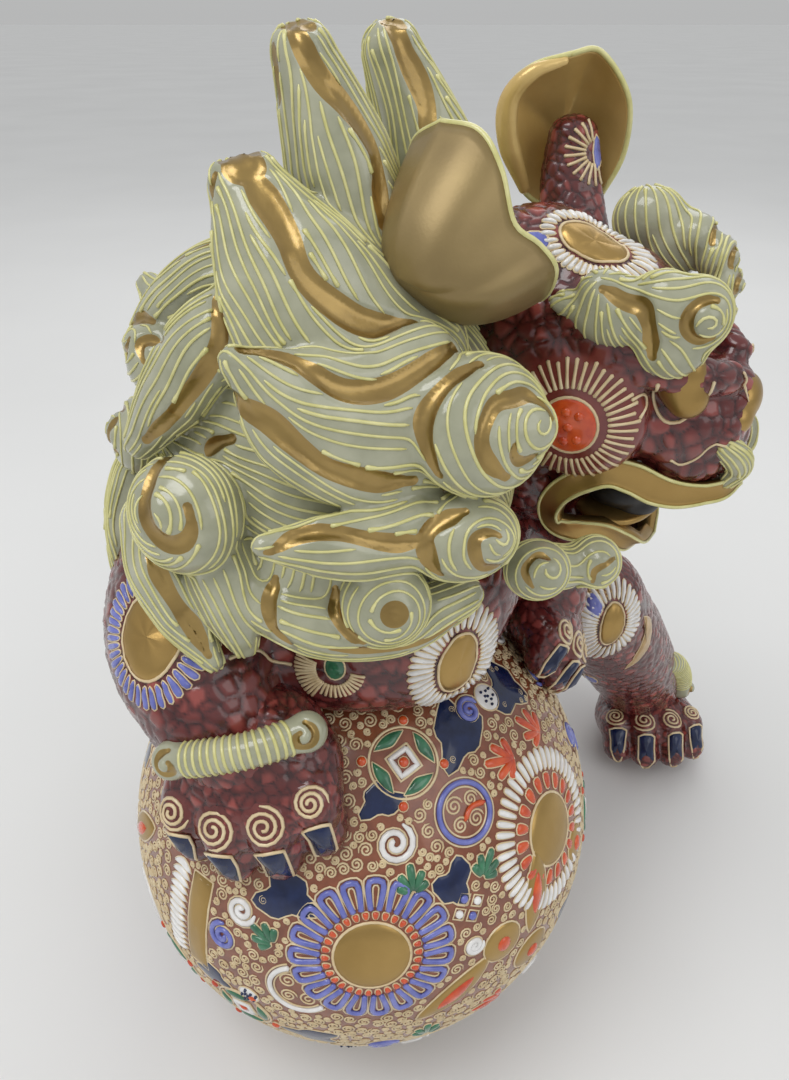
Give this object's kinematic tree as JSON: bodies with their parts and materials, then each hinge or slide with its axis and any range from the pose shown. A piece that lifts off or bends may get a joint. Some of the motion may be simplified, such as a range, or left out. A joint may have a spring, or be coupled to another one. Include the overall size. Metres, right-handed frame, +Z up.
{
  "type": "lion dog statue",
  "caption": "Glazed porcelain lion dog with a curled mane, leaning both forepaws on a round brocade ball, for display on a shelf.",
  "frame": {"origin": "middle of the statue's bounding box, on the floor it stands on", "axes": "+Z up, -Y towards the front of the ball where the chest faces, +X towards the side the head is turned to"},
  "size_m": [0.236, 0.2458, 0.298],
  "materials": {
    "celadon_glaze": "glossy grey-green glaze with raised cream lines and gold stripes",
    "maroon_glaze": "glossy pebbled maroon glaze",
    "brocade_glaze": "glossy rust ground with raised brocade enamels",
    "satin_gold": "satin burnished gold over porcelain"
  },
  "bodies": {
    "root": {"ball": "brocade_glaze", "torso": "maroon_glaze", "skull": "maroon_glaze", "lower_jaw": "maroon_glaze", "mane_core": "celadon_glaze", "forepaw_right": "maroon_glaze", "forepaw_left": "maroon_glaze", "hindpaw_left": "maroon_glaze", "hindpaw_right": "maroon_glaze", "foreleg_right": "maroon_glaze", "foreleg_left": "maroon_glaze", "thigh_left": "maroon_glaze", "shank_left": "maroon_glaze", "thigh_right": "maroon_glaze", "shank_right": "maroon_glaze", "nose": "satin_gold", "eye_right": "satin_gold", "brow_right": "celadon_glaze", "eye_left": "satin_gold", "brow_left": "celadon_glaze", "ear_right": "satin_gold", "ear_left": "satin_gold", "cheek_curl_right": "celadon_glaze", "jowl_curl_right": "celadon_glaze", "chin_curl_right": "celadon_glaze", "chin_curl_front": "celadon_glaze", "shoulder_curl_right": "celadon_glaze", "throat_curl_right": "celadon_glaze", "side_curl_upper": "celadon_glaze", "side_curl_lower": "celadon_glaze", "cheek_curl_left": "celadon_glaze", "jowl_curl_left": "celadon_glaze", "mane_spike_right": "celadon_glaze", "mane_spike_crown": "celadon_glaze", "mane_spike_back": "celadon_glaze", "mane_spike_left": "celadon_glaze", "mane_horn_upper": "celadon_glaze", "mane_horn_lower": "celadon_glaze", "shoulder_lock": "celadon_glaze", "throat_lock": "celadon_glaze", "flank_lock": "celadon_glaze", "nape_lock_upper": "celadon_glaze", "nape_lock_right": "celadon_glaze", "nape_lock_left": "celadon_glaze", "nape_lock_centre": "celadon_glaze", "nape_lock_side": "celadon_glaze", "fetlock_scroll_front_right": "celadon_glaze", "fetlock_scroll_hind_left": "celadon_glaze", "fetlock_scroll_hind_right": "celadon_glaze", "tail_root": "celadon_glaze", "tail_flame_centre": "celadon_glaze", "tail_flame_right": "celadon_glaze", "tail_flame_left": "celadon_glaze"}
  },
  "joints": []
}
